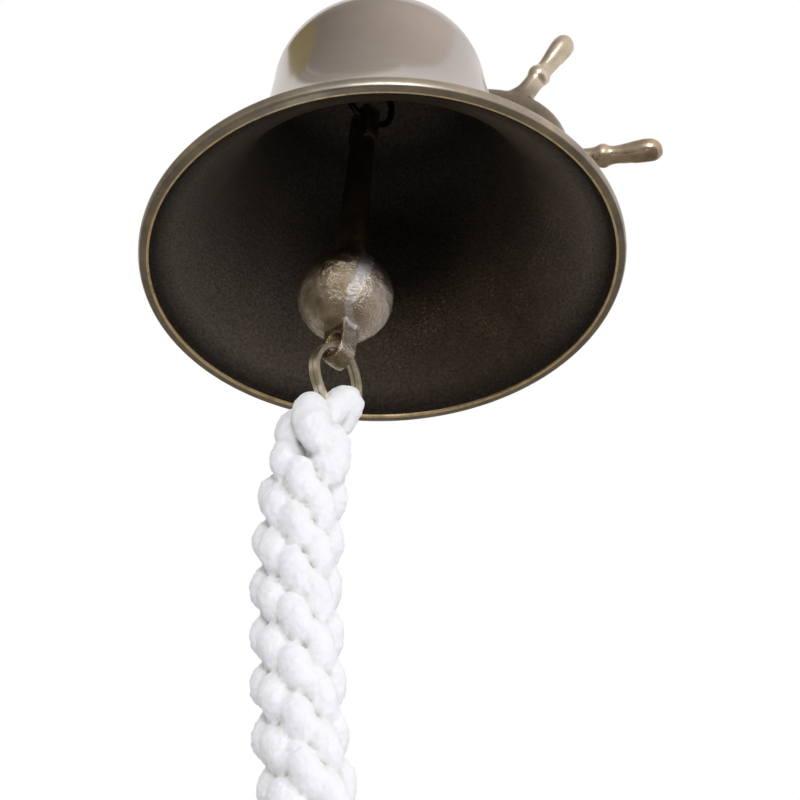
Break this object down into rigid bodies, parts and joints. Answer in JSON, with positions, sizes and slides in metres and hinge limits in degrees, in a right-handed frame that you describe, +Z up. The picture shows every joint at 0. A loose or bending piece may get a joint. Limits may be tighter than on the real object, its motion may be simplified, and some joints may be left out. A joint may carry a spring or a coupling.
{
  "type": "wall bell",
  "caption": "Flared brass bell bolted under an arm on a ship's-wheel wall bracket, with a cast clapper hung on a ring and a plaited cotton lanyard for ringing it.",
  "frame": {"origin": "centre of the wheel's flat back, on the wall", "axes": "+Z up, +Y into the wall, so the bell hangs in front of it towards -Y; +X to the right when facing the wall"},
  "size_m": [0.1685, 0.179, 0.4269],
  "materials": {
    "antique_brass": "cast, antiqued and polished on the high places",
    "brass_screws": "turned, lightly tarnished",
    "polished_brass": "outside turned and polished to an antique grey-beige, inside left dark and rough",
    "dark_brass": "dark, unpolished",
    "leather_washers": "plain",
    "brass_fittings": "polished",
    "ring_brass": "drawn wire, tarnished",
    "cast_brass": "rough cast, ground along the parting line",
    "white_cotton": "soft plaited cord"
  },
  "bodies": {
    "bracket": {"ship_wheel": "antique_brass", "bracket_arm": "antique_brass", "arm_screw_left": "brass_screws", "arm_screw_right": "brass_screws", "bell_shell": "polished_brass", "crown_eyebolt": "dark_brass", "inner_washer": "leather_washers", "crown_washer": "leather_washers", "top_washer": "brass_fittings", "cap_nut": "brass_fittings"},
    "crown_link": {"crown_ring": "ring_brass"},
    "clapper": {"clapper": "cast_brass"},
    "pull_link": {"pull_ring": "ring_brass"},
    "lanyard": {"lanyard_bight_front": "white_cotton", "lanyard_bight_back": "white_cotton", "lanyard_sinnet": "white_cotton", "lanyard_knot": "white_cotton"}
  },
  "joints": [
    {"name": "crown_ring_swing", "type": "hinge", "parent": "bracket", "child": "crown_link", "pos_m": [0.0011, -0.104, -0.05461], "axis": [-0.848, 0.5299, 0], "range_deg": [-8, 8]},
    {"name": "clapper_swing", "type": "hinge", "parent": "crown_link", "child": "clapper", "pos_m": [0.0011, -0.104, -0.07181], "axis": [0.5299, 0.848, 0], "range_deg": [-35, 24]},
    {"name": "pull_ring_swing", "type": "hinge", "parent": "clapper", "child": "pull_link", "pos_m": [0.00642, -0.10732, -0.17732], "axis": [-0.9659, 0.2588, 0], "range_deg": [-15, 15]},
    {"name": "lanyard_swing", "type": "hinge", "parent": "pull_link", "child": "lanyard", "pos_m": [0.00642, -0.10732, -0.19498], "axis": [0.2588, 0.9659, 0], "range_deg": [-40, 40]}
  ]
}
